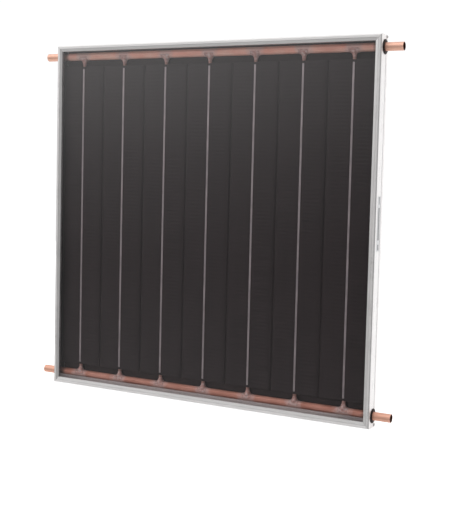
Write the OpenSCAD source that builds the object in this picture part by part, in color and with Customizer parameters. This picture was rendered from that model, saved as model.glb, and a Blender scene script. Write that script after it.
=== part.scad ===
// Flat-plate solar water heater: a glazed aluminium box with a copper tube absorber inside.
// X runs across the width, Y into the depth with the glass facing -Y, and Z is up.
// The origin is the middle of the bottom edge, halfway through the depth.
// "Inset" is a distance in from the box's outer edge, and "depth" is a distance behind its front.

/* [Box] */
// Width of the aluminium box
panel_w = 1000; // [800:10:1300]
// Height of the aluminium box
panel_h = 1000; // [800:10:2000]
// Depth of the aluminium box
panel_d = 48; // [48:1:60]

/* [Frame extrusion] */
// Thickness of the extruded walls
wall_t = 1.5; // [1.2:0.1:1.8]
// Width of the front nose, from the outer edge to the bead's groove
nose_w = 8.5; // [8.5:0.1:9]
// Radius of the nose's outer corner
nose_r = 3.5; // [2:0.5:4]
// Width of the ledge that carries the glass
ledge_w = 15.5; // [15:0.1:16]
// Width of the rear flange
flange_w = 15; // [13:0.5:20]

/* [Glazing] */
// Thickness of the tempered glass
glass_t = 3.2; // [3:0.1:4]
// Gap between the box's outer edge and the edge of the glass
glass_inset = 12; // [11.5:0.1:12.3]
// Width of the bead, from its groove to its inner edge
bead_w = 7.3; // [7:0.1:9]
// Width of the open groove between the nose and the bead
bead_gap = 0.5; // [0.3:0.1:0.8]

/* [Pipes] */
// Number of risers, each with its own fin
riser_count = 7; // [4:1:9]
// Outer diameter of the headers
header_od = 22; // [15:1:22]
// Wall of the headers
header_wall = 0.8; // [0.7:0.1:1]
// Length of each stub outside the box
stub_len = 50; // [30:5:80]
// Distance from the box's outer edge to the header's axis
header_inset = 30; // [27:1:32]
// Distance from the box's front to the header's axis
header_depth = 27; // [26:0.5:28]
// Outer diameter of the risers
riser_od = 9.52; // [8:0.01:10]
// Wall of the risers
riser_wall = 0.5; // [0.4:0.1:0.8]

/* [Absorber] */
// Thickness of the fins
fin_t = 0.4; // [0.2:0.1:0.6]
// Gap between neighbouring fins
fin_gap = 1; // [0.5:0.5:3]
// Distance from the box's outer edge to the end of a fin
fin_end_inset = 59.5; // [58:0.5:80]
// Bare length of fin beyond each end of its weld seam
seam_margin = 6.5; // [4:0.5:15]
// Width of the weld seam
seam_w = 5.5; // [3:0.5:6]

/* [Insulation and back] */
// Thickness of the insulation strips along the top and bottom walls
end_strip_t = 14; // [10:0.5:14]
// Thickness of the bottom strip's front lip, which stands before the header
bottom_lip_t = 23.5; // [16:0.5:23.5]
// Thickness of the insulation strips along the left and right walls, beside the fins
edge_strip_t = 8; // [5:0.5:8]
// Thickness of the back sheet
back_sheet_t = 0.7; // [0.5:0.1:1]
// Number of rivets along each edge of the back
rivets_per_side = 5; // [3:1:9]

/* [Hidden] */
SIDES = ["left", "right", "top", "bottom"];
$fn = 64;

// Overlap that keeps a cutting tool's faces off the faces it cuts
cut = 1;

// Glass, its gasket tape and the ledge below it
gasket_t = 0.8;
gasket_w = 3.2;
glass_depth = 4;
ledge_depth = glass_depth + glass_t + gasket_t;
mitre_reach = 30;

// A narrow groove runs round the outside of the box
side_groove_depth = 35;
side_groove_w = 1.8;
side_groove_t = 0.6;

// Glazing bead section: the top face falls from bead_rise to bead_drop, with a snap leg and a foot
bead_rise = 0.4;
bead_drop = 2.4;
bead_leg_t = 1.5;
bead_foot_w = 3.8;
bead_foot_depth = 3.1;
bead_leg_depth = 2.5;
snap_ridge_depth = 5.3;
snap_ridge_h = 1.5;

// Screw ports run inside the rear of the extrusion, bite into its wall and take the corner screws
port_r = 3.2;
port_hole_r = 1.6;
port_bite = 0.8;
port_inset = wall_t + port_r - port_bite;
port_depth = panel_d - 6.5;
screw_head_r = 3.7;
screw_head_t = 2;
screw_len = 26;
screw_clearance = 0.3;

// Corner keys fill the chamber behind the nose and tie the mitres together
key_inset = 2;
key_top_depth = 2.2;
key_play = 0.25;
key_leg = 60;

// Pipes
header_r = header_od / 2;
bore_r = header_r - header_wall;
riser_r = riser_od / 2;
header_len = panel_w + 2 * stub_len;
stop_groove_w = 1.5;
stop_groove_t = 0.4;
stop_groove_at = 3.5;
riser_setback = 0.2;
riser_end = bore_r + riser_setback;
absorber_margin = 10;
pitch = (panel_w - 2 * absorber_margin) / riser_count;

// Saddles: a half shell on the header, with a flared neck up the riser
saddle_len = 28;
saddle_t = 1.2;
neck_foot_r = 11;
neck_tip_r = riser_r + 0.5;
neck_h = 13;
neck_steps = 8;
neck_flare = 2.4;
neck_clearance = 0.5;

// Grommets: a neck in the wall, with a lip outside and one inside, where the frame is cut back
grommet_neck_r = header_r + 4;
grommet_lip_r = header_r + 8;
grommet_lip_t = 3;
grommet_edge_t = 1.2;
grommet_shoulder_w = 1;
grommet_inner_r = header_r + 5.5;
grommet_inner_t = 2;
grommet_clearance = 0.5;
pipe_clearance = 1.5;

// Insulation and back; the board lies inside both kinds of strip, clear of the rivets
strip_gap = 0.8;
strip_end_depth = port_depth - port_r - strip_gap;
lip_end_depth = header_depth - header_r - strip_gap;
back_sheet_inset = 2;
back_sheet_depth = panel_d - wall_t - back_sheet_t;
facing_t = 0.4;
riser_gap = 0.3;
facing_depth = header_depth + riser_r + riser_gap;
facing_end_inset = header_inset + header_r + neck_h + neck_clearance;
board_depth = facing_depth + facing_t;
header_slot = header_r + pipe_clearance;
seam_t = 0.3;

// Flush blind rivets through the rear flange and the back sheet
rivet_inset = 11;
rivet_end_gap = 60;
rivet_r = 1.6;
rivet_head_r = 3;
rivet_head_t = 1.2;
rivet_bulb_r = 2.4;
rivet_bulb_t = 1;
board_inset = max(wall_t + end_strip_t, rivet_inset + rivet_bulb_r + strip_gap);

// Blank label on the right side
label_len = 140;
label_w = 22;
label_t = 0.3;
label_depth = 22;
label_middle = 525;

function is_upright(side) = side == "left" || side == "right";
function y_at(depth) = depth - panel_d / 2;
function riser_x(i) = (i - (riser_count + 1) / 2) * pitch;
function rivet_stops(length) = [
    for (i = [0:rivets_per_side - 1])
        rivet_end_gap + i * (length - 2 * rivet_end_gap) / (rivets_per_side - 1)
];

// Takes a piece made for the left or bottom side to the side named
module mirrored_to(side) {
    if (side == "right") mirror([1, 0, 0]) children();
    else if (side == "top") translate([0, 0, panel_h]) mirror([0, 0, 1]) children();
    else children();
}

// Extrudes an outline drawn in the X-Z plane through the depth, from one depth to another
module through_depth(from_depth, to_depth) {
    translate([0, y_at(to_depth), 0])
        rotate([90, 0, 0]) linear_extrude(to_depth - from_depth) children();
}

// Extrudes a profile (x is inset, y is depth) the whole length of the left or bottom side
module extruded_along(side) {
    if (is_upright(side))
        translate([-panel_w / 2, y_at(0), 0]) linear_extrude(panel_h) children();
    else
        translate([panel_w / 2, y_at(0), 0])
            rotate([0, -90, 0]) linear_extrude(panel_w) children();
}

// The space between the two mitre cuts of the left or bottom side
module mitre_block(side) {
    inner_x = panel_w / 2 - mitre_reach;
    through_depth(-cut, panel_d + cut) polygon([
        [-panel_w / 2, 0],
        is_upright(side) ? [-panel_w / 2, panel_h] : [panel_w / 2, 0],
        is_upright(side) ? [-inner_x, panel_h - mitre_reach] : [inner_x, mitre_reach],
        [-inner_x, mitre_reach]
    ]);
}

// Runs a profile along one side of the box, mitred at both ends
module side_run(side) {
    mirrored_to(side) intersection() {
        extruded_along(side) children();
        mitre_block(side);
    }
}

// A rectangular strip along one side; the top and bottom strips fit between the upright ones
module side_strip(side, inset, upright_width, level_width, from_depth, to_depth) {
    upright = is_upright(side);
    width = upright ? upright_width : level_width;
    end_inset = upright ? inset : inset + upright_width;
    length = (upright ? panel_h : panel_w) - 2 * end_inset;
    corner = upright ? [-panel_w / 2 + inset, inset] : [-panel_w / 2 + end_inset, inset];
    mirrored_to(side) through_depth(from_depth, to_depth)
        translate(corner) square(upright ? [width, length] : [length, width]);
}

// A cylinder along X, centred on the named header's axis
module along_header(level, radius, length) {
    z = level == "top" ? panel_h - header_inset : header_inset;
    translate([0, y_at(header_depth), z])
        rotate([0, 90, 0]) cylinder(r = radius, h = length, center = true);
}

module header_holes(radius, length) {
    for (level = ["top", "bottom"]) along_header(level, radius, length);
}

// A rectangle with one rounded corner, at the origin
module one_rounded_corner(width, height, radius) {
    translate([radius, 0]) square([width - radius, height]);
    translate([0, radius]) square([width, height - radius]);
    translate([radius, radius]) circle(radius);
}

module frame_profile() {
    difference() {
        union() {
            one_rounded_corner(nose_w, ledge_depth + wall_t, nose_r);
            translate([0, nose_r]) square([wall_t, panel_d - nose_r]);
            translate([0, ledge_depth]) square([ledge_w, wall_t]);
            translate([0, panel_d - wall_t]) square([flange_w, wall_t]);
            translate([port_inset, port_depth]) circle(port_r);
        }
        translate([wall_t, wall_t])
            one_rounded_corner(nose_w - 2 * wall_t, ledge_depth - wall_t, nose_r - wall_t);
        translate([port_inset, port_depth]) circle(port_hole_r);
        translate([-cut, side_groove_depth - side_groove_w / 2])
            square([cut + side_groove_t, side_groove_w]);
    }
}

module glazing_bead_profile() {
    start = nose_w + bead_gap;
    end = start + bead_w;
    foot = end - bead_foot_w;
    leg = start + bead_leg_t;
    ridge_mid = snap_ridge_depth + snap_ridge_h / 2;
    polygon([
        [start, bead_rise],
        [end, bead_drop],
        [end, glass_depth],
        [foot, glass_depth],
        [foot, bead_foot_depth],
        [leg, bead_leg_depth],
        [leg, ledge_depth],
        [start, ledge_depth],
        [start, snap_ridge_depth + snap_ridge_h],
        [nose_w, ridge_mid + bead_gap / 2],
        [nose_w, ridge_mid - bead_gap / 2],
        [start, snap_ridge_depth]
    ]);
}

// The solid that a rivet and its hole share, pointing into the box from its rear face
module rivet_shank() {
    translate([0, y_at(panel_d), 0]) rotate([90, 0, 0]) {
        cylinder(r1 = rivet_head_r, r2 = rivet_r, h = rivet_head_t);
        cylinder(r = rivet_r, h = wall_t + back_sheet_t);
    }
}

module rivet_bulb() {
    translate([0, y_at(back_sheet_depth), 0])
        rotate([90, 0, 0]) cylinder(r = rivet_bulb_r, h = rivet_bulb_t);
}

// Places children at every rivet along one side
module at_rivets(side) {
    mirrored_to(side) {
        if (is_upright(side)) {
            for (stop = rivet_stops(panel_h))
                translate([-panel_w / 2 + rivet_inset, 0, stop]) children();
        } else {
            for (stop = rivet_stops(panel_w))
                translate([stop - panel_w / 2, 0, rivet_inset]) children();
        }
    }
}

// Places children on the outer face of each corner, on a screw port's axis, pointing inwards
module at_corner_screws() {
    for (side = ["left", "right"]) mirrored_to(side)
        for (level = ["bottom", "top"]) mirrored_to(level)
            translate([-panel_w / 2, y_at(port_depth), port_inset]) rotate([0, 90, 0]) children();
}

module frame_member(side) {
    color("silver") difference() {
        side_run(side) frame_profile();
        at_rivets(side) rivet_shank();
        if (is_upright(side)) {
            header_holes(grommet_neck_r, panel_w + cut);
            header_holes(grommet_inner_r + grommet_clearance, panel_w - 2 * wall_t);
            at_corner_screws() cylinder(r = port_hole_r + screw_clearance, h = screw_len + cut);
        }
    }
}

module glazing_bead(side) {
    color("gainsboro") side_run(side) glazing_bead_profile();
}

module glass_gasket(side) {
    color("black")
        side_strip(side, glass_inset, gasket_w, gasket_w, glass_depth + glass_t, ledge_depth);
}

module glass_cover() {
    color("lightcyan", 0.35) through_depth(glass_depth, glass_depth + glass_t)
        translate([-panel_w / 2 + glass_inset, glass_inset])
            square([panel_w - 2 * glass_inset, panel_h - 2 * glass_inset]);
}

// A strip along a wall. The upright ones are black-faced and let the headers and grommets through.
// The others are foil-faced, and the bottom one has a lip in front of its header
module side_insulation(side) {
    pocket_r = grommet_inner_r + grommet_clearance;
    pocket_reach = wall_t + grommet_inner_t + grommet_clearance;
    color(is_upright(side) ? "dimgray" : "darkgray") difference() {
        union() {
            side_strip(side, wall_t, edge_strip_t, end_strip_t, ledge_depth + wall_t, strip_end_depth);
            if (side == "bottom")
                side_strip(side, wall_t, edge_strip_t, bottom_lip_t, ledge_depth + wall_t, lip_end_depth);
        }
        if (is_upright(side)) {
            header_holes(header_slot, panel_w + cut);
            for (end = [-1, 1])
                translate([end * (panel_w / 2), 0, 0]) header_holes(pocket_r, 2 * pocket_reach);
        }
    }
}

// The wool board, with a trough for each header and a pocket for the neck of each saddle
module insulation_board() {
    color("dimgray") difference() {
        through_depth(board_depth, back_sheet_depth)
            translate([-panel_w / 2 + board_inset, board_inset])
                square([panel_w - 2 * board_inset, panel_h - 2 * board_inset]);
        header_holes(header_slot, panel_w + cut);
        for (level = ["top", "bottom"]) mirrored_to(level)
            for (i = [1:riser_count])
                translate([riser_x(i), y_at(header_depth), header_inset])
                    cylinder(r = neck_foot_r + neck_clearance, h = facing_end_inset - header_inset);
    }
}

module insulation_facing() {
    inset = wall_t + edge_strip_t;
    color("black") through_depth(facing_depth, board_depth)
        translate([-panel_w / 2 + inset, facing_end_inset])
            square([panel_w - 2 * inset, panel_h - 2 * facing_end_inset]);
}

module back_sheet() {
    color("gainsboro") difference() {
        through_depth(back_sheet_depth, back_sheet_depth + back_sheet_t)
            translate([-panel_w / 2 + back_sheet_inset, back_sheet_inset])
                square([panel_w - 2 * back_sheet_inset, panel_h - 2 * back_sheet_inset]);
        for (side = SIDES) at_rivets(side) rivet_shank();
    }
}

module back_rivets() {
    color("gray") for (side = SIDES) at_rivets(side) {
        rivet_shank();
        rivet_bulb();
    }
}

module corner_keys() {
    inner = nose_w - wall_t - key_play;
    color("darkgray") for (side = ["left", "right"]) mirrored_to(side)
        for (level = ["bottom", "top"]) mirrored_to(level)
            through_depth(key_top_depth, ledge_depth - key_play)
                translate([-panel_w / 2, 0]) polygon([
                    [key_inset, key_inset],
                    [key_leg, key_inset],
                    [key_leg, inner],
                    [inner, inner],
                    [inner, key_leg],
                    [key_inset, key_leg]
                ]);
}

module corner_screws() {
    color("gray") at_corner_screws() {
        translate([0, 0, -screw_head_t]) cylinder(r = screw_head_r, h = screw_head_t);
        cylinder(r = port_hole_r, h = screw_len);
    }
}

// A header with a hole for each riser on the side that faces the absorber
module header(level) {
    color("peru") mirrored_to(level) difference() {
        along_header("bottom", header_r, header_len);
        along_header("bottom", bore_r, header_len + cut);
        for (i = [1:riser_count])
            translate([riser_x(i), y_at(header_depth), header_inset])
                cylinder(r = riser_r, h = header_r + cut);
        for (end = [-1, 1])
            translate([end * (panel_w / 2 + stop_groove_at + stop_groove_w / 2), 0, 0])
                difference() {
                    along_header("bottom", header_r + cut, stop_groove_w);
                    along_header("bottom", header_r - stop_groove_t, stop_groove_w + cut);
                }
    }
}

module riser(i) {
    end_z = header_inset + riser_end;
    color("sienna") translate([riser_x(i), y_at(header_depth), end_z]) difference() {
        cylinder(r = riser_r, h = panel_h - 2 * end_z);
        translate([0, 0, -cut]) cylinder(r = riser_r - riser_wall, h = panel_h);
    }
}

// The flared neck's outline: it narrows quickly near the header and slowly up the riser
function neck_outline() = [
    for (i = [0:neck_steps])
        let (rise = i / neck_steps)
        [neck_tip_r + (neck_foot_r - neck_tip_r) * pow(1 - rise, neck_flare), header_r + neck_h * rise]
];

module riser_saddle() {
    difference() {
        union() {
            intersection() {
                rotate([0, 90, 0]) cylinder(r = header_r + saddle_t, h = saddle_len, center = true);
                translate([-saddle_len / 2, -header_od, 0])
                    cube([saddle_len, 2 * header_od, header_od]);
            }
            rotate_extrude() polygon(concat(
                [[riser_r, 0], [neck_foot_r, 0]],
                neck_outline(),
                [[riser_r, header_r + neck_h]]
            ));
        }
        rotate([0, 90, 0]) cylinder(r = header_r, h = saddle_len + cut, center = true);
        cylinder(r = riser_r, h = header_od);
    }
}

module riser_saddles(level) {
    color("rosybrown") mirrored_to(level) for (i = [1:riser_count])
        translate([riser_x(i), y_at(header_depth), header_inset]) riser_saddle();
}

module fin(i) {
    width = pitch - fin_gap;
    fin_depth = header_depth - riser_r - fin_t;
    color([0.2, 0.19, 0.19]) through_depth(fin_depth, fin_depth + fin_t)
        translate([riser_x(i) - width / 2, fin_end_inset])
            square([width, panel_h - 2 * fin_end_inset]);
}

module weld_seams() {
    seam_depth = header_depth - riser_r - fin_t;
    seam_inset = fin_end_inset + seam_margin;
    color("gray") for (i = [1:riser_count])
        through_depth(seam_depth - seam_t, seam_depth)
            translate([riser_x(i) - seam_w / 2, seam_inset])
                square([seam_w, panel_h - 2 * seam_inset]);
}

module grommet(level, side) {
    color("black") mirrored_to(side) mirrored_to(level)
        translate([-panel_w / 2, y_at(header_depth), header_inset]) rotate([0, -90, 0])
            rotate_extrude() polygon([
                [header_r, -wall_t - grommet_inner_t],
                [grommet_inner_r, -wall_t - grommet_inner_t],
                [grommet_inner_r, -wall_t],
                [grommet_neck_r, -wall_t],
                [grommet_neck_r, 0],
                [grommet_lip_r, 0],
                [grommet_lip_r, grommet_edge_t],
                [grommet_neck_r + grommet_shoulder_w, grommet_lip_t],
                [header_r, grommet_lip_t]
            ]);
}

module rating_label() {
    color("whitesmoke")
        translate([panel_w / 2, y_at(label_depth) - label_w / 2, label_middle - label_len / 2])
            cube([label_t, label_w, label_len]);
}

for (side = SIDES) {
    frame_member(side);
    glazing_bead(side);
    glass_gasket(side);
    side_insulation(side);
}
for (i = [1:riser_count]) {
    riser(i);
    fin(i);
}
for (level = ["top", "bottom"]) {
    header(level);
    riser_saddles(level);
    for (side = ["left", "right"])
        grommet(level, side);
}
glass_cover();
weld_seams();
insulation_board();
insulation_facing();
back_sheet();
back_rivets();
corner_keys();
corner_screws();
rating_label();
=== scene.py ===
"""Visual model and studio picture of a flat-plate solar water collector.

The glazed front faces -Y, Z is up, and every length is in metres.
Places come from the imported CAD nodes. Each part below replaces a node or gives it a finish.
"""

import math

import bmesh
import bpy
from mathutils import Matrix, Vector, noise


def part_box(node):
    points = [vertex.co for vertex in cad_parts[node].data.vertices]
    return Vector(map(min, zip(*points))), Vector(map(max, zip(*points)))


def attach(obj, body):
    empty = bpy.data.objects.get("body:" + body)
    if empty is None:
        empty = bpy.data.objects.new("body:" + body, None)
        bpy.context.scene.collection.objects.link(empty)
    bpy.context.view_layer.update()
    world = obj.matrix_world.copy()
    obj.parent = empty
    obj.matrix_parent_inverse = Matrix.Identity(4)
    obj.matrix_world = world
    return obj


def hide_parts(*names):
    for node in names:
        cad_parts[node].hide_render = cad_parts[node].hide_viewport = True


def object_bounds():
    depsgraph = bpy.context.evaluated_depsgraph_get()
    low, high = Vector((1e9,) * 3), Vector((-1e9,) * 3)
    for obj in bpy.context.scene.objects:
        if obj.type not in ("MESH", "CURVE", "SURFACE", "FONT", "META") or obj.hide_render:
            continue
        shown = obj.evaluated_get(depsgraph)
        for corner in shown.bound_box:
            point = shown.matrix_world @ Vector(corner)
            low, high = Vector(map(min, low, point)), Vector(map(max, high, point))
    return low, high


MM = 0.001

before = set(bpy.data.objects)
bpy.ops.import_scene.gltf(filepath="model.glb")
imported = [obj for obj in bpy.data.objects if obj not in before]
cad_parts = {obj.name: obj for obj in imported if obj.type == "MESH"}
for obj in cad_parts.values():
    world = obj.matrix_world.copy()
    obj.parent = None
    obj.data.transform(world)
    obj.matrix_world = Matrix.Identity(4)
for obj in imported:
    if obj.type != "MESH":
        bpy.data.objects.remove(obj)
cad_low, cad_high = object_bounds()

SIDES = ("left", "right", "top", "bottom")
LEVELS = ("top", "bottom")
RISERS = [i for i in range(1, 20) if f"riser_{i}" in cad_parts]

riser_boxes = [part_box(f"riser_{i}") for i in RISERS]
riser_xs = [(low.x + high.x) / 2 for low, high in riser_boxes]
pitch = riser_xs[1] - riser_xs[0]
header_low, header_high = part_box("header_bottom")
header_r = (header_high.z - header_low.z) / 2
header_y = (header_low.y + header_high.y) / 2
header_z = {level: (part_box(f"header_{level}")[0].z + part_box(f"header_{level}")[1].z) / 2
            for level in LEVELS}
half_w = -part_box("frame_left")[0].x
box_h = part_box("frame_top")[1].z
groove_y = cad_low.y + 35 * MM
groove_half = 0.9 * MM


# ---------------------------------------------------------------- camera, floor and light

BACKDROP_LIGHT = 1.05
FLOOR_GLOW = 0.60
FLOOR_FRONT, FLOOR_BACK, FLOOR_HALF_W = -1.25, 4.0, 4.0

# The light on the object, as (direction, light) pairs with directions from -1 to 1.
# From behind it goes by x. From in front it goes by z, times a share that goes by x.
BEHIND_LIGHT = ((-1, 0.75), (0, 0.95), (0.35, 1.2), (1, 1.4))
FRONT_LIGHT = ((-1, 1.6), (-0.50, 0.80), (-0.26, 0.28), (-0.10, 0.17),
               (0.0, 0.36), (0.14, 1.05), (0.5, 1.25))
SIDE_SHARE = ((-1, 1.15), (-0.7, 1.15), (-0.52, 1.0), (-0.32, 0.5),
              (0.0, 0.47), (0.4, 0.38), (1, 0.38))
# The stretch of y over which the light in front gives way to the light behind
FRONT_TO_BACK = (-0.15, 0.30)


def make_camera():
    """A long lens to the right of the glass, a little above the middle, looking slightly down."""
    camera = bpy.data.objects.new("camera", bpy.data.cameras.new("camera"))
    bpy.context.collection.objects.link(camera)
    back = Vector((0.4594, -0.8855, 0.0696)).normalized()
    right = Vector((0.8866, 0.4619, 0.0242))
    up = back.cross(right).normalized()
    right = up.cross(back)
    axes = Matrix((right, up, back)).transposed().to_4x4()
    camera.matrix_world = Matrix.Translation((1.326, cad_low.y - 2.364, 0.672)) @ axes
    camera.data.lens = 68.4
    camera.data.sensor_width = 36
    camera.data.shift_x = 0.0060
    camera.data.shift_y = -0.0554
    bpy.context.scene.camera = camera


def map_range(tree, source, span, result, smooth=False):
    """Takes source from the first range to the second, and holds it at their ends."""
    node = tree.nodes.new("ShaderNodeMapRange")
    if smooth:
        node.interpolation_type = "SMOOTHSTEP"
    tree.links.new(source, node.inputs["Value"])
    for name, value in zip(("From Min", "From Max", "To Min", "To Max"), (*span, *result)):
        node.inputs[name].default_value = value
    return node.outputs["Result"]


def is_camera_ray(tree):
    """1 for rays straight from the camera, and 0 for reflections and bounces."""
    return tree.nodes.new("ShaderNodeLightPath").outputs["Is Camera Ray"]


def multiply(tree, a, b):
    """The product of two sockets."""
    node = tree.nodes.new("ShaderNodeMath")
    node.operation = "MULTIPLY"
    tree.links.new(a, node.inputs[0])
    tree.links.new(b, node.inputs[1])
    return node.outputs[0]


def ramp(tree, source, stops):
    """Runs source, from -1 to 1, through a list of (place, value) pairs."""
    peak = max(value for _, value in stops)
    node = tree.nodes.new("ShaderNodeValToRGB")
    marks = node.color_ramp.elements
    while len(marks) < len(stops):
        marks.new(0.5)
    for mark, (place, value) in zip(marks, stops):
        share = value / peak
        mark.position = (place + 1) / 2
        mark.color = (share, share, share, 1)
    tree.links.new(map_range(tree, source, (-1, 1), (0, 1)), node.inputs[0])
    return map_range(tree, node.outputs[0], (0, 1), (0, peak))


def make_world():
    """White behind the object; in front, bright above and to the left and dim about the horizon."""
    world = bpy.data.worlds.new("studio")
    bpy.context.scene.world = world
    world.use_nodes = True
    tree = world.node_tree
    split = tree.nodes.new("ShaderNodeSeparateXYZ")
    tree.links.new(tree.nodes.new("ShaderNodeTexCoord").outputs["Generated"], split.inputs[0])
    x, y, z = split.outputs

    in_front = multiply(tree, ramp(tree, z, FRONT_LIGHT), ramp(tree, x, SIDE_SHARE))
    studio = tree.nodes.new("ShaderNodeMix")
    tree.links.new(map_range(tree, y, FRONT_TO_BACK, (0, 1), True), studio.inputs[0])
    tree.links.new(in_front, studio.inputs[2])
    tree.links.new(ramp(tree, x, BEHIND_LIGHT), studio.inputs[3])
    seen = tree.nodes.new("ShaderNodeMix")
    tree.links.new(is_camera_ray(tree), seen.inputs[0])
    tree.links.new(studio.outputs[0], seen.inputs[2])
    seen.inputs[3].default_value = BACKDROP_LIGHT
    tree.links.new(seen.outputs[0], tree.nodes["Background"].inputs["Strength"])
    tree.nodes["Background"].inputs["Color"].default_value = (1, 1, 1, 1)


def make_softbox(name, place, target, size, power):
    """A rectangular lamp of the given size that looks at target."""
    light = bpy.data.lights.new(name, "AREA")
    light.shape = "RECTANGLE"
    light.size, light.size_y = size
    light.energy = power
    box = bpy.data.objects.new(name, light)
    bpy.context.collection.objects.link(box)
    box.location = place
    box.rotation_euler = (Vector(target) - Vector(place)).to_track_quat("-Z", "Y").to_euler()


def make_floor():
    """A white floor that glows a little for the camera, so that it fades into the backdrop."""
    mesh = bpy.data.meshes.new("floor")
    corners = [(-FLOOR_HALF_W, FLOOR_FRONT), (FLOOR_HALF_W, FLOOR_FRONT)]
    corners += [(FLOOR_HALF_W, FLOOR_BACK), (-FLOOR_HALF_W, FLOOR_BACK)]
    mesh.from_pydata([(x, y, cad_low.z) for x, y in corners], [], [(0, 1, 2, 3)])
    floor = bpy.data.objects.new("floor", mesh)
    bpy.context.collection.objects.link(floor)
    finish = Finish("floor_white", (0.90, 0.90, 0.90), 0.8, specular=0.1)
    finish.bsdf.inputs["Emission Color"].default_value = (1, 1, 1, 1)
    glow = finish.math("MULTIPLY", is_camera_ray(finish.tree), FLOOR_GLOW)
    finish.link(glow, finish.bsdf.inputs["Emission Strength"])
    mesh.materials.append(finish.material)
    floor.visible_glossy = False


# ---------------------------------------------------------------- finishes

class Finish:
    """A Principled material whose patterns read object space, in metres."""

    def __init__(self, name, color, roughness, metallic=0.0, specular=0.5):
        self.material = bpy.data.materials.new(name)
        self.material.use_nodes = True
        self.tree = self.material.node_tree
        self.bsdf = self.tree.nodes["Principled BSDF"]
        self.color = (*color, 1)
        self.roughness = roughness
        self.bsdf.inputs["Base Color"].default_value = self.color
        self.bsdf.inputs["Roughness"].default_value = roughness
        self.bsdf.inputs["Metallic"].default_value = metallic
        self.bsdf.inputs["Specular IOR Level"].default_value = specular
        self.place = self.node("ShaderNodeTexCoord").outputs["Object"]
        split = self.node("ShaderNodeSeparateXYZ")
        self.link(self.place, split.inputs[0])
        self.x, self.y, self.z = split.outputs

    def node(self, kind, **settings):
        node = self.tree.nodes.new(kind)
        for name, value in settings.items():
            setattr(node, name, value)
        return node

    def link(self, source, target):
        self.tree.links.new(source, target)

    def feed(self, socket, value):
        if isinstance(value, bpy.types.NodeSocket):
            self.link(value, socket)
        else:
            socket.default_value = value

    def math(self, operation, a, b=0.0):
        node = self.node("ShaderNodeMath", operation=operation)
        self.feed(node.inputs[0], a)
        self.feed(node.inputs[1], b)
        return node.outputs[0]

    def wall_inset(self):
        """How far a point lies in from the nearer side wall's outer face."""
        return self.math("SUBTRACT", half_w, self.math("ABSOLUTE", self.x))

    def noise(self, size, stretch=(1, 1, 1), detail=3.0):
        """Cloudy noise from 0 to 1 with features about size across, times the stretch each way."""
        mapping = self.node("ShaderNodeMapping")
        self.link(self.place, mapping.inputs["Vector"])
        mapping.inputs["Scale"].default_value = tuple(1 / (size * s) for s in stretch)
        texture = self.node("ShaderNodeTexNoise")
        self.link(mapping.outputs[0], texture.inputs["Vector"])
        texture.inputs["Scale"].default_value = 1
        texture.inputs["Detail"].default_value = detail
        return texture.outputs["Fac"]

    def spread(self, source, span, result=(0, 1)):
        """Takes source from one range to another."""
        return map_range(self.tree, source, span, result)

    def mix(self, factor, a, b):
        """Colour a where factor is 0, and b where it is 1."""
        node = self.node("ShaderNodeMix", data_type="RGBA")
        for index, value in ((0, factor), (6, a), (7, b)):
            if isinstance(value, tuple):
                value = (*value[:3], 1)
            self.feed(node.inputs[index], value)
        return node.outputs[2]

    def paint(self, color):
        self.link(color, self.bsdf.inputs["Base Color"])

    def toned(self, source, share):
        """The base colour, darker and lighter by share as source goes from low to high."""
        dark = tuple(c * (1 - share) for c in self.color[:3])
        light = tuple(min(1, c * (1 + share)) for c in self.color[:3])
        return self.mix(self.spread(source, (0.3, 0.7)), dark, light)

    def gloss(self, source, either_way):
        """Roughness that goes either way from its middle value as source goes from low to high."""
        rough = (self.roughness - either_way, self.roughness + either_way)
        self.link(self.spread(source, (0.3, 0.7), rough), self.bsdf.inputs["Roughness"])

    def bump(self, height, depth, strength=1.0):
        node = self.node("ShaderNodeBump")
        self.link(height, node.inputs["Height"])
        node.inputs["Distance"].default_value = depth
        node.inputs["Strength"].default_value = strength
        self.link(node.outputs[0], self.bsdf.inputs["Normal"])


def drawn(axis, much, plain=1):
    """Stretch factors for marks that run along one axis."""
    return tuple(much if name == axis else plain for name in "xyz")


def extruded_aluminium(name, axis, color, roughness, metallic):
    """Satin aluminium with faint die lines, dark mitre joints and painted shade in the outer groove.

    On the uprights a strip along the outer front corner is painted darker, as painted shade.
    """
    finish = Finish(name, color, roughness, metallic)
    lines = finish.noise(0.6 * MM, drawn(axis, 400), 2)
    clouds = finish.noise(70 * MM, detail=4)
    both = finish.math("MULTIPLY", finish.math("ADD", lines, clouds), 0.5)
    inset_x = finish.wall_inset()
    from_middle = finish.math("ABSOLUTE", finish.math("SUBTRACT", finish.z, box_h / 2))
    inset_z = finish.math("SUBTRACT", box_h / 2, from_middle)
    off_mitre = finish.math("ABSOLUTE", finish.math("SUBTRACT", inset_x, inset_z))
    plain = finish.toned(both, 0.06)
    seam, groove_shade = (0.12, 0.12, 0.12), (0.10, 0.10, 0.11)
    coat = finish.mix(finish.spread(off_mitre, (0.15 * MM, 0.35 * MM)), seam, plain)
    # Painted shade: the floor of the outer groove is painted near black.
    off_groove = finish.math("ABSOLUTE", finish.math("SUBTRACT", finish.y, groove_y))
    groove_shade_edge = (groove_half - 0.02 * MM, groove_half + 0.1 * MM)
    coat = finish.mix(finish.spread(off_groove, groove_shade_edge), groove_shade, coat)
    # Painted shade: on the uprights a strip along the outer front corner is painted darker.
    if axis == "z":
        tone_with_painted_light = tuple(0.72 * share for share in color)
        off_edge = finish.math("MAXIMUM", inset_x, finish.math("SUBTRACT", finish.y, cad_low.y))
        coat = finish.mix(finish.spread(off_edge, (2.2 * MM, 3.2 * MM)), tone_with_painted_light, coat)
    finish.paint(coat)
    finish.gloss(both, 0.08)
    finish.bump(lines, 0.02 * MM)
    return finish.material


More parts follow.
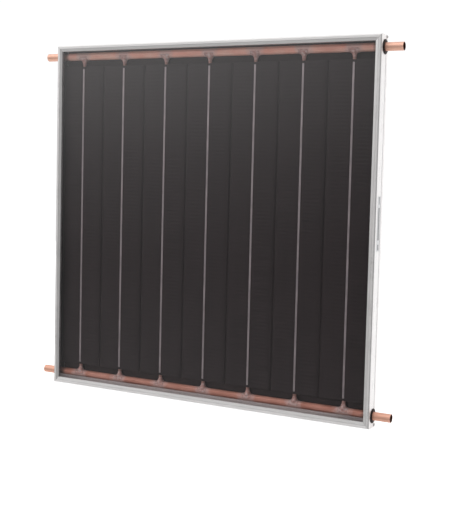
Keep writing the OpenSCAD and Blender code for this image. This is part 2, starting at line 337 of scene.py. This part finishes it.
def sheet_aluminium(name, color, roughness):
    """Sheet aluminium with the shallow pebbled grain of embossed back plates."""
    finish = Finish(name, color, roughness, metallic=1.0)
    grain = finish.node("ShaderNodeTexVoronoi", feature="SMOOTH_F1")
    finish.link(finish.place, grain.inputs["Vector"])
    grain.inputs["Scale"].default_value = 1 / (3.2 * MM)
    clouds = finish.noise(120 * MM, detail=5)
    finish.paint(finish.toned(clouds, 0.07))
    finish.gloss(clouds, 0.08)
    finish.bump(grain.outputs["Distance"], 0.3 * MM, 0.5)
    return finish.material


def small_metal(name, color, roughness):
    """Turned or cut small parts, with fine scratches."""
    finish = Finish(name, color, roughness, metallic=1.0)
    marks = finish.noise(0.9 * MM, detail=5)
    finish.paint(finish.toned(marks, 0.12))
    finish.gloss(marks, 0.1)
    finish.bump(marks, 0.03 * MM)
    return finish.material


def plain_copper(name, axis):
    """Dull drawn tube with cloudy tarnish."""
    finish = Finish(name, (0.50, 0.30, 0.26), 0.45, metallic=0.5)
    clouds = finish.noise(16 * MM, drawn(axis, 3), 5)
    lines = finish.noise(0.6 * MM, drawn(axis, 150), 2)
    finish.paint(finish.toned(clouds, 0.22))
    finish.gloss(clouds, 0.1)
    finish.bump(lines, 0.02 * MM)
    return finish.material


def header_copper(level, stub, dark, light):
    """Bright outside the box, matt and duller inside, with a dark bore.

    Inside, flux residue lies by each riser, and the ends near the side walls are painted dark as painted
    shade.
    """
    finish = Finish(f"header_copper_{level}", stub, 0.45)
    clouds = finish.noise(20 * MM, drawn("x", 3), 5)
    lines = finish.noise(0.6 * MM, drawn("x", 150), 2)
    blots = finish.noise(11 * MM, detail=5)
    bright = finish.toned(clouds, 0.08)
    tone_with_painted_light = finish.mix(finish.spread(clouds, (0.35, 0.65)), dark, light)
    steps = finish.math("SUBTRACT", finish.math("DIVIDE", finish.x, pitch), riser_xs[0] / pitch)
    off_riser = finish.math("MULTIPLY", finish.math("PINGPONG", steps, 0.5), pitch)
    ragged = finish.math("ADD", off_riser, finish.math("MULTIPLY", blots, 26 * MM))
    residue = finish.spread(ragged, (28 * MM, 42 * MM), (0.75, 0))
    # Painted shade: inside the box each header is painted dark near the side walls.
    near_wall = finish.spread(finish.wall_inset(), (20 * MM, 30 * MM), (0.75, 0))
    wall_shaded = finish.mix(near_wall, tone_with_painted_light, (0.10, 0.06, 0.05))
    inside = finish.mix(residue, wall_shaded, (0.78, 0.58, 0.54))
    outside = finish.spread(finish.math("ABSOLUTE", finish.x), (half_w - MM, half_w + MM))
    off_y = finish.math("SUBTRACT", finish.y, header_y)
    off_z = finish.math("SUBTRACT", finish.z, header_z[level])
    off_axis = finish.math("SQRT", finish.math("ADD", finish.math("POWER", off_y, 2.0),
                                               finish.math("POWER", off_z, 2.0)))
    bore = finish.spread(off_axis, (header_r - 0.6 * MM, header_r - 0.4 * MM), (1, 0))
    bore_color = (0.14, 0.05, 0.035)
    finish.paint(finish.mix(bore, finish.mix(outside, inside, bright), bore_color))
    matt = finish.math("MULTIPLY", finish.math("SUBTRACT", 1.0, outside), 0.12)
    rough = finish.math("ADD", finish.spread(clouds, (0.3, 0.7), (0.40, 0.50)), matt)
    finish.link(rough, finish.bsdf.inputs["Roughness"])
    finish.link(finish.spread(outside, (0, 1), (0.45, 0.6)), finish.bsdf.inputs["Metallic"])
    finish.bump(lines, 0.02 * MM)
    return finish.material


def brazed_copper():
    """Heat-dulled pink copper with whitish residue in blotches."""
    finish = Finish("brazed_copper", (0.42, 0.27, 0.25), 0.55, metallic=0.4)
    blots = finish.noise(6 * MM, detail=6)
    fine = finish.noise(1.2 * MM, detail=5)
    base = finish.mix(finish.spread(fine, (0.35, 0.65)), (0.46, 0.25, 0.22), (0.66, 0.41, 0.36))
    finish.paint(finish.mix(finish.spread(blots, (0.46, 0.62)), base, (0.72, 0.58, 0.55)))
    finish.gloss(blots, 0.14)
    finish.bump(fine, 0.2 * MM, 0.6)
    return finish.material


def absorber_coating():
    """Selective black coating on aluminium: a dark satin with faint coating streaks."""
    finish = Finish("absorber_coating", (0.030, 0.022, 0.023), 0.50, specular=0.22)
    streaks = finish.noise(14 * MM, drawn("z", 30), 4)
    clouds = finish.noise(110 * MM, detail=4)
    both = finish.math("MULTIPLY", finish.math("ADD", streaks, clouds), 0.5)
    finish.paint(finish.toned(both, 0.14))
    finish.gloss(both, 0.06)
    finish.bump(finish.noise(0.5 * MM, detail=2), 0.01 * MM)
    return finish.material


def weld_metal():
    """Bare aluminium, greyed by the weld."""
    finish = Finish("weld_metal", (0.52, 0.47, 0.48), 0.42, metallic=0.8)
    marks = finish.noise(5 * MM, drawn("z", 4), 5)
    finish.paint(finish.toned(marks, 0.16))
    finish.gloss(marks, 0.1)
    return finish.material


def foil():
    """Crinkled foil, painted darker toward a strip's ends as painted shade in the box's corners."""
    finish = Finish("foil_facing", (0.58, 0.53, 0.52), 0.50, metallic=0.25)
    crinkles = finish.noise(5 * MM, detail=5)
    # Painted shade: the foil is painted darker near the side walls, in the corners of the box.
    dust_and_shade = finish.spread(finish.wall_inset(), (15 * MM, 130 * MM), (0.65, 0))
    finish.paint(finish.mix(dust_and_shade, finish.toned(crinkles, 0.1), (0.16, 0.14, 0.14)))
    finish.gloss(crinkles, 0.12)
    finish.bump(crinkles, 0.5 * MM, 0.5)
    return finish.material


def black_rubber(name, color=(0.018, 0.008, 0.007)):
    """Dark rubber or foam with a dusty face."""
    finish = Finish(name, color, 0.6, specular=0.25)
    dust_and_shade = finish.noise(8 * MM, detail=6)
    finish.paint(finish.toned(dust_and_shade, 0.35))
    finish.gloss(dust_and_shade, 0.12)
    finish.bump(finish.noise(0.7 * MM, detail=4), 0.05 * MM)
    return finish.material


def wool(name, color):
    """Matted mineral fibres."""
    finish = Finish(name, color, 0.95, specular=0.1)
    fibres = finish.noise(1.2 * MM, drawn("x", 6), 5)
    tufts = finish.noise(18 * MM, detail=5)
    both = finish.math("MULTIPLY", finish.math("ADD", fibres, tufts), 0.5)
    finish.paint(finish.toned(both, 0.3))
    finish.gloss(both, 0.04)
    finish.bump(fibres, 0.8 * MM)
    return finish.material


def label_plastic(low, high):
    """White film with three plain grey bars down its middle and no lettering."""
    finish = Finish("label_film", (0.84, 0.84, 0.85), 0.45, specular=0.4)
    middle_y = (low.y + high.y) / 2
    off_middle = finish.math("ABSOLUTE", finish.math("SUBTRACT", finish.y, middle_y))
    height = finish.math("DIVIDE", finish.math("SUBTRACT", finish.z, low.z), high.z - low.z)
    bars = 0.0
    # Each bar's start and end, as shares of the label's height, and its half width.
    for start, end, half in ((0.02, 0.12, 4.5 * MM), (0.20, 0.79, 5 * MM), (0.85, 0.985, 3 * MM)):
        rise = finish.spread(height, (start, start + 0.002))
        fall = finish.spread(height, (end, end + 0.002), (1, 0))
        across = finish.spread(off_middle, (half, half + 0.3 * MM), (1, 0))
        inside = finish.math("MULTIPLY", finish.math("MULTIPLY", rise, fall), across)
        bars = finish.math("MAXIMUM", bars, inside)
    wear = finish.noise(4 * MM, detail=4)
    finish.paint(finish.mix(bars, finish.toned(wear, 0.03), (0.34, 0.34, 0.35)))
    finish.gloss(wear, 0.06)
    finish.bump(finish.noise(1.5 * MM, detail=2), 0.02 * MM)
    return finish.material


def solar_glass():
    """Clear glass whose front mirrors for both faces: about a twelfth straight on, more at a slant."""
    material = bpy.data.materials.new("solar_glass")
    material.use_nodes = True
    tree = material.node_tree
    tree.nodes.remove(tree.nodes["Principled BSDF"])
    clear = tree.nodes.new("ShaderNodeBsdfTransparent")
    clear.inputs["Color"].default_value = (0.95, 0.935, 0.94, 1)
    mirror = tree.nodes.new("ShaderNodeBsdfGlossy")
    mirror.inputs["Color"].default_value = (1, 1, 1, 1)
    mirror.inputs["Roughness"].default_value = 0.12
    share = tree.nodes.new("ShaderNodeFresnel")
    share.inputs["IOR"].default_value = 1.77
    behind = tree.nodes.new("ShaderNodeNewGeometry").outputs["Backfacing"]
    in_front = tree.nodes.new("ShaderNodeMath")
    in_front.operation = "SUBTRACT"
    in_front.inputs[0].default_value = 1
    tree.links.new(behind, in_front.inputs[1])
    mix = tree.nodes.new("ShaderNodeMixShader")
    tree.links.new(multiply(tree, share.outputs[0], in_front.outputs[0]), mix.inputs[0])
    tree.links.new(clear.outputs[0], mix.inputs[1])
    tree.links.new(mirror.outputs[0], mix.inputs[2])
    tree.links.new(mix.outputs[0], tree.nodes["Material Output"].inputs["Surface"])
    return material


# ---------------------------------------------------------------- mesh helpers

def add_piece(name, verts, faces, material, slot, *nodes):
    """Makes a piece of the object that stands for the given CAD nodes."""
    mesh = bpy.data.meshes.new(name)
    mesh.from_pydata([tuple(v) for v in verts], [], faces)
    work = bmesh.new()
    work.from_mesh(mesh)
    bmesh.ops.recalc_face_normals(work, faces=work.faces)
    work.to_mesh(mesh)
    work.free()
    mesh.polygons.foreach_set("use_smooth", [True] * len(mesh.polygons))
    mesh.materials.append(material)
    piece = bpy.data.objects.new(name, mesh)
    bpy.context.collection.objects.link(piece)
    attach(piece, "root")
    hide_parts(*nodes)
    return piece


def crisp(piece, degrees=40):
    """Keeps edges sharper than the given angle from being shaded round."""
    piece.data.set_sharp_from_angle(angle=math.radians(degrees))


def joined(parts):
    """One list of vertices and faces from several."""
    verts, faces = [], []
    for part_verts, part_faces in parts:
        start = len(verts)
        verts += part_verts
        faces += [tuple(start + index for index in face) for face in part_faces]
    return verts, faces


def tube(count, rows):
    """The faces of a closed tube with count points a ring and a cap at either end."""
    faces = [tuple(range(count)), tuple(range((rows - 1) * count, rows * count))]
    for row in range(rows - 1):
        for k in range(count):
            a, b = row * count + k, row * count + (k + 1) % count
            faces.append((a, b, b + count, a + count))
    return faces


def slab(across, along, front, back):
    """A closed slab between two surfaces, each a function of a value in across and one in along."""
    stride, layer = len(across), len(across) * len(along)
    verts = [surface(u, v) for surface in (front, back) for v in along for u in across]
    faces = []
    for row in range(len(along) - 1):
        for column in range(stride - 1):
            first = row * stride + column
            quad = (first, first + 1, first + 1 + stride, first + stride)
            faces += [quad, tuple(layer + index for index in reversed(quad))]
    rim = [*range(stride), *(row * stride + stride - 1 for row in range(1, len(along)))]
    rim += [layer - 1 - column for column in range(1, stride)]
    rim += [row * stride for row in range(len(along) - 2, 0, -1)]
    for a, b in zip(rim, rim[1:] + rim[:1]):
        faces.append((b, a, layer + a, layer + b))
    return verts, faces


def rounded(points, radius, steps=3):
    """The closed outline with every corner eased by about radius."""
    result = []
    for k, point in enumerate(points):
        corner = Vector(point)
        before = Vector(points[k - 1]) - corner
        after = Vector(points[(k + 1) % len(points)]) - corner
        longest = 0.45 * min(before.length, after.length)
        reach = min(radius / math.tan(before.angle(after) / 2), longest)
        start, end = corner + before.normalized() * reach, corner + after.normalized() * reach
        for step in range(steps + 1):
            t = step / steps
            result.append(start * (1 - t) ** 2 + corner * 2 * t * (1 - t) + end * t ** 2)
    return result


def finely(outline, longest):
    """The closed outline with every stretch split so that none is longer than a length."""
    result = []
    for k, point in enumerate(outline):
        after = outline[(k + 1) % len(outline)]
        count = max(1, math.ceil((after - point).length / longest))
        result += [point.lerp(after, step / count) for step in range(count)]
    return result


def ring(outline, segments, place):
    """A ring: a closed outline of (radius, height) turned about an axis, put in place by a function."""
    count = len(outline)
    verts, faces = [], []
    for turn in range(segments):
        angle = 2 * math.pi * turn / segments
        verts += [place(r * math.cos(angle), r * math.sin(angle), h) for r, h in outline]
        for k in range(count):
            a, b = turn * count + k, turn * count + (k + 1) % count
            step = count if turn < segments - 1 else -turn * count
            faces.append((a, b, b + step, a + step))
    return verts, faces


def even(low, high, count):
    """Values from low to high in count equal steps."""
    return [low + (high - low) * k / count for k in range(count + 1)]


# ---------------------------------------------------------------- pieces

def make_fins():
    """Thin fins with shallow ribs across, a flat track down the middle and edges that turn back."""
    rib_pitch, rib_h = 10 * MM, 0.30 * MM
    track_half, rib_fade = 4 * MM, 3 * MM
    edge_w, edge_turn = 8 * MM, 2.6 * MM
    wave_h = 0.35 * MM
    material = absorber_coating()
    for i in RISERS:
        low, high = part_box(f"fin_{i}")
        middle, half = (low.x + high.x) / 2, (high.x - low.x) / 2
        thickness = high.y - low.y
        rib_count = round((high.z - low.z) / rib_pitch)
        across = [-half, -half + edge_w * 0.3, -half + edge_w * 0.65, -half + edge_w]
        across += even(-half + edge_w + rib_fade, -track_half - rib_fade, 8) + [-track_half, 0]
        across += [-x for x in reversed(across[:-1])]
        along = even(low.z, high.z, rib_count * 6)

        def front(x, z, middle=middle, half=half, low=low):
            off_track = min(1, max(0, (abs(x) - track_half) / rib_fade))
            off_edge = min(1, max(0, (half - edge_w - abs(x)) / rib_fade))
            swell = 0.5 - 0.5 * math.cos(2 * math.pi * (z - low.z) / rib_pitch)
            rib = rib_h * swell * off_track * off_edge
            wave = wave_h * noise.noise(Vector(((middle + x) * 9, i, z * 5))) * off_track
            turn = edge_turn * max(0, (abs(x) - half + edge_w) / edge_w) ** 2
            return (middle + x, low.y - rib + wave + turn, z)

        def back(x, z, front=front, thickness=thickness):
            x_out, y_out, z_out = front(x, z)
            return (x_out, y_out + thickness, z_out)

        verts, faces = slab(across, along, front, back)
        add_piece(f"ribbed_fin_{i}", verts, faces, material, "absorber_coating", f"fin_{i}")


def make_weld_tracks():
    """The track of an ultrasonic weld down each fin: a low crowned strip with close cross marks."""
    low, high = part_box("weld_seams")
    width = 2 * (high.x - riser_xs[-1])
    mark_pitch, mark_h, wander_w = 2.6 * MM, 0.10 * MM, 0.06 * MM
    crown_h, sunk = high.y - low.y, 0.1 * MM
    fin_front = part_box("fin_1")[0].y
    count = round((high.z - low.z) / mark_pitch) * 4
    parts = []
    for x_middle in riser_xs:

        def front(u, z, x_middle=x_middle):
            wander = wander_w * noise.noise(Vector((x_middle * 50, 0, z * 14)))
            mark = mark_h * math.cos(2 * math.pi * (z - low.z) / mark_pitch)
            height = max(0, crown_h - mark_h + mark) * (1 - abs(u) ** 3)
            return (x_middle + wander + u * width / 2, fin_front - height, z)

        def back(u, z, x_middle=x_middle):
            return (front(u, z, x_middle)[0], fin_front + sunk, z)

        parts.append(slab([-1, -0.7, 0, 0.7, 1], even(low.z, high.z, count), front, back))
    verts, faces = joined(parts)
    add_piece("weld_tracks", verts, faces, weld_metal(), "seam_metal", "weld_seams")


def make_saddles():
    """The CAD saddles with their edges melted together, as after brazing."""
    material = brazed_copper()
    for level in LEVELS:
        node = f"riser_saddles_{level}"
        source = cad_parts[node].data.copy()
        source.materials.clear()
        source.materials.append(material)
        piece = bpy.data.objects.new(f"brazed_saddles_{level}", source)
        bpy.context.collection.objects.link(piece)
        remesh = piece.modifiers.new("remesh", "REMESH")
        remesh.mode, remesh.voxel_size = "VOXEL", 0.7 * MM
        smooth = piece.modifiers.new("smooth", "SMOOTH")
        smooth.factor, smooth.iterations = 0.5, 6
        graph = bpy.context.evaluated_depsgraph_get()
        melted = bpy.data.meshes.new_from_object(piece.evaluated_get(graph))
        piece.modifiers.clear()
        piece.data = melted
        melted.polygons.foreach_set("use_smooth", [True] * len(melted.polygons))
        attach(piece, "root")
        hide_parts(node)


def make_foil_strips():
    """Foil-faced strips along the top and bottom walls; the bottom one has a lip before its header."""
    material = foil()
    crumple, fold_r, strip_t = 0.7 * MM, 1.2 * MM, 14 * MM
    header_gap = 0.8 * MM
    lip_back = header_y - header_r - header_gap
    for side in ("top", "bottom"):
        low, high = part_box(f"side_insulation_{side}")
        reach = high.z - low.z
        outer, inwards = (high.z, -1) if side == "top" else (low.z, 1)
        corners = [(0, high.y), (0, low.y), (reach, low.y)]
        if reach > strip_t + MM:
            corners += [(reach, lip_back), (strip_t, lip_back)]
        corners += [(strip_t, high.y)]
        outline = finely(rounded(corners, fold_r), 2 * MM)
        count = len(outline)
        stations = even(low.x, high.x, 320)
        verts = []
        for x in stations:
            for k, point in enumerate(outline):
                along = outline[(k + 1) % count] - outline[k - 1]
                dent_way = Vector((-along.y, along.x)).normalized()
                spot = Vector((x * 45, point.y * 90, point.x * 90 + inwards))
                dent = crumple * (0.5 + 0.5 * noise.noise(spot))
                t, y = point + dent_way * dent
                verts.append((x, y, outer + inwards * t))
        piece = add_piece(f"foil_strip_{side}", verts, tube(count, len(stations)), material,
                          "foil_facing", f"side_insulation_{side}")
        crisp(piece)


def make_grommets():
    """Moulded rubber grommets with soft edges."""
    material = black_rubber("grommet_rubber")
    wall_t, inner_t = 1.5 * MM, 2 * MM
    for level in LEVELS:
        for side, outwards in (("left", -1), ("right", 1)):
            node = f"grommet_{level}_{side}"
            low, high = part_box(node)
            lip_r = (high.z - low.z) / 2
            lip_t = (high.x - half_w) if side == "right" else (-half_w - low.x)
            neck_r, inner_r = header_r + 4 * MM, header_r + 5.5 * MM
            outline = [
                (header_r, -wall_t - inner_t),
                (inner_r, -wall_t - inner_t),
                (inner_r, -wall_t),
                (neck_r, -wall_t),
                (neck_r, 0),
                (lip_r, 0),
                (lip_r, lip_t * 0.45),
                (neck_r + MM, lip_t),
                (header_r + 0.8 * MM, lip_t),
                (header_r, lip_t - 0.8 * MM),
            ]

            def place(a, b, h, outwards=outwards, z=header_z[level]):
                return (outwards * (half_w + h), header_y + a, z + b)

            verts, faces = ring(rounded(outline, 0.5 * MM), 72, place)
            add_piece(f"moulded_grommet_{level}_{side}", verts, faces, material, "grommet_rubber", node)


def make_screws():
    """Pan-head corner screws with a hexagonal socket."""
    low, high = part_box("corner_screws")
    head_r = 3.7 * MM
    head_t = high.x - half_w
    shank_r, shank_len = 1.6 * MM, 26 * MM
    socket_r, socket_depth = 1.55 * MM, 1.3 * MM
    inset = low.z + head_r
    y = high.y - head_r
    segments = 48
    parts = []
    for outwards in (-1, 1):
        for z in (inset, box_h - inset):
            profile = [(0, -shank_len), (shank_r * 0.5, -shank_len), (shank_r, -shank_len + MM)]
            profile += [(shank_r, 0), (head_r * 0.96, 0), (head_r, 0.2 * MM), (head_r, head_t * 0.4)]
            profile += [(head_r * 0.9, head_t * 0.75), (head_r * 0.68, head_t * 0.95), (head_r * 0.5, head_t)]
            profile += [("hex", head_t), ("hex", head_t - socket_depth), (0, head_t - socket_depth)]
            verts, faces = [], []
            for turn in range(segments):
                angle = 2 * math.pi * turn / segments
                hex_r = socket_r * math.cos(math.pi / 6) / math.cos(angle % (math.pi / 3) - math.pi / 6)
                for r, h in profile:
                    r = hex_r if r == "hex" else r
                    verts.append((outwards * (half_w + h), y + r * math.cos(angle), z + r * math.sin(angle)))
            count = len(profile)
            for turn in range(segments):
                after = (turn + 1) % segments
                for k in range(count - 1):
                    a, b = turn * count + k, after * count + k
                    faces.append((a, a + 1, b + 1, b))
            parts.append((verts, faces))
    verts, faces = joined(parts)
    steel = small_metal("screw_steel", (0.60, 0.60, 0.60), 0.3)
    piece = add_piece("pan_head_screws", verts, faces, steel, "screw_steel", "corner_screws")
    work = bmesh.new()
    work.from_mesh(piece.data)
    bmesh.ops.remove_doubles(work, verts=work.verts, dist=1e-6)
    bmesh.ops.recalc_face_normals(work, faces=work.faces)
    work.to_mesh(piece.data)
    work.free()
    crisp(piece, 35)


def make_label():
    """The label, with round corners and an eased front edge."""
    low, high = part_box("rating_label")
    corner_r = 2.5 * MM
    outline = [(low.y, low.z), (high.y, low.z), (high.y, high.z), (low.y, high.z)]
    outline = rounded(outline, corner_r, 6)
    count = len(outline)
    eased = 0.15 * MM
    middle = Vector(((low.y + high.y) / 2, (low.z + high.z) / 2))
    layers = ((low.x, 0), (high.x - eased / 2, 0), (high.x, eased))
    verts = []
    for x, shrink in layers:
        for point in outline:
            y = point.x - math.copysign(shrink, point.x - middle.x)
            verts.append((x, y, point.y - math.copysign(shrink, point.y - middle.y)))
    faces = tube(count, len(layers))
    piece = add_piece("blank_label", verts, faces, label_plastic(low, high), "label_film", "rating_label")
    crisp(piece)


def dress_cad_nodes():
    """Gives every CAD node that still shows its finish."""
    # The glazing beads are given a darker grey than the frame.
    anodised, bead_grey = (0.94, 0.92, 0.915), (0.78, 0.765, 0.76)
    upright = extruded_aluminium("frame_upright", "z", anodised, 0.30, 0.40)
    level = extruded_aluminium("frame_level", "x", anodised, 0.44, 0.2)
    bead_upright = extruded_aluminium("bead_upright", "z", bead_grey, 0.32, 0.55)
    bead_level = extruded_aluminium("bead_level", "x", bead_grey, 0.42, 0.5)
    gasket = black_rubber("gasket_foam", (0.03, 0.03, 0.03))
    finishes = {
        "glass_cover": solar_glass(),
        "insulation_board": wool("insulation_wool", (0.055, 0.044, 0.045)),
        "insulation_facing": wool("black_veil", (0.050, 0.040, 0.041)),
        "back_sheet": sheet_aluminium("back_aluminium", (0.50, 0.51, 0.52), 0.40),
        "back_rivets": small_metal("rivet_aluminium", (0.50, 0.50, 0.51), 0.36),
        "corner_keys": small_metal("key_aluminium", (0.60, 0.60, 0.60), 0.45),
    }
    for side in SIDES:
        is_upright = side in ("left", "right")
        finishes[f"frame_{side}"] = upright if is_upright else level
        finishes[f"glazing_bead_{side}"] = bead_upright if is_upright else bead_level
        finishes[f"glass_gasket_{side}"] = gasket
        if is_upright:
            finishes[f"side_insulation_{side}"] = finishes["insulation_facing"]
    # Painted light and shade: both headers are the same copper, but the top one's tones are painted lighter
    # and the bottom one's darker.
    header_colors = {
        "top": ((0.94, 0.55, 0.42), (0.95, 0.46, 0.35), (1.0, 0.64, 0.52)),
        "bottom": ((0.84, 0.46, 0.34), (0.56, 0.24, 0.17), (0.76, 0.39, 0.30)),
    }
    for height, colors in header_colors.items():
        finishes[f"header_{height}"] = header_copper(height, *colors)
    riser = plain_copper("riser_copper", "z")
    for i in RISERS:
        finishes[f"riser_{i}"] = riser
    for node, material in finishes.items():
        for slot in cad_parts[node].material_slots:
            slot.material = material


make_camera()
make_world()
make_floor()
make_softbox("softbox_above", (-0.6, -1.2, 2.9), (0, 0, 0.6), (2.4, 1.4), 15)
bpy.context.scene.view_settings.view_transform = "Standard"

make_fins()
make_weld_tracks()
make_saddles()
make_foil_strips()
make_grommets()
make_screws()
make_label()
dress_cad_nodes()
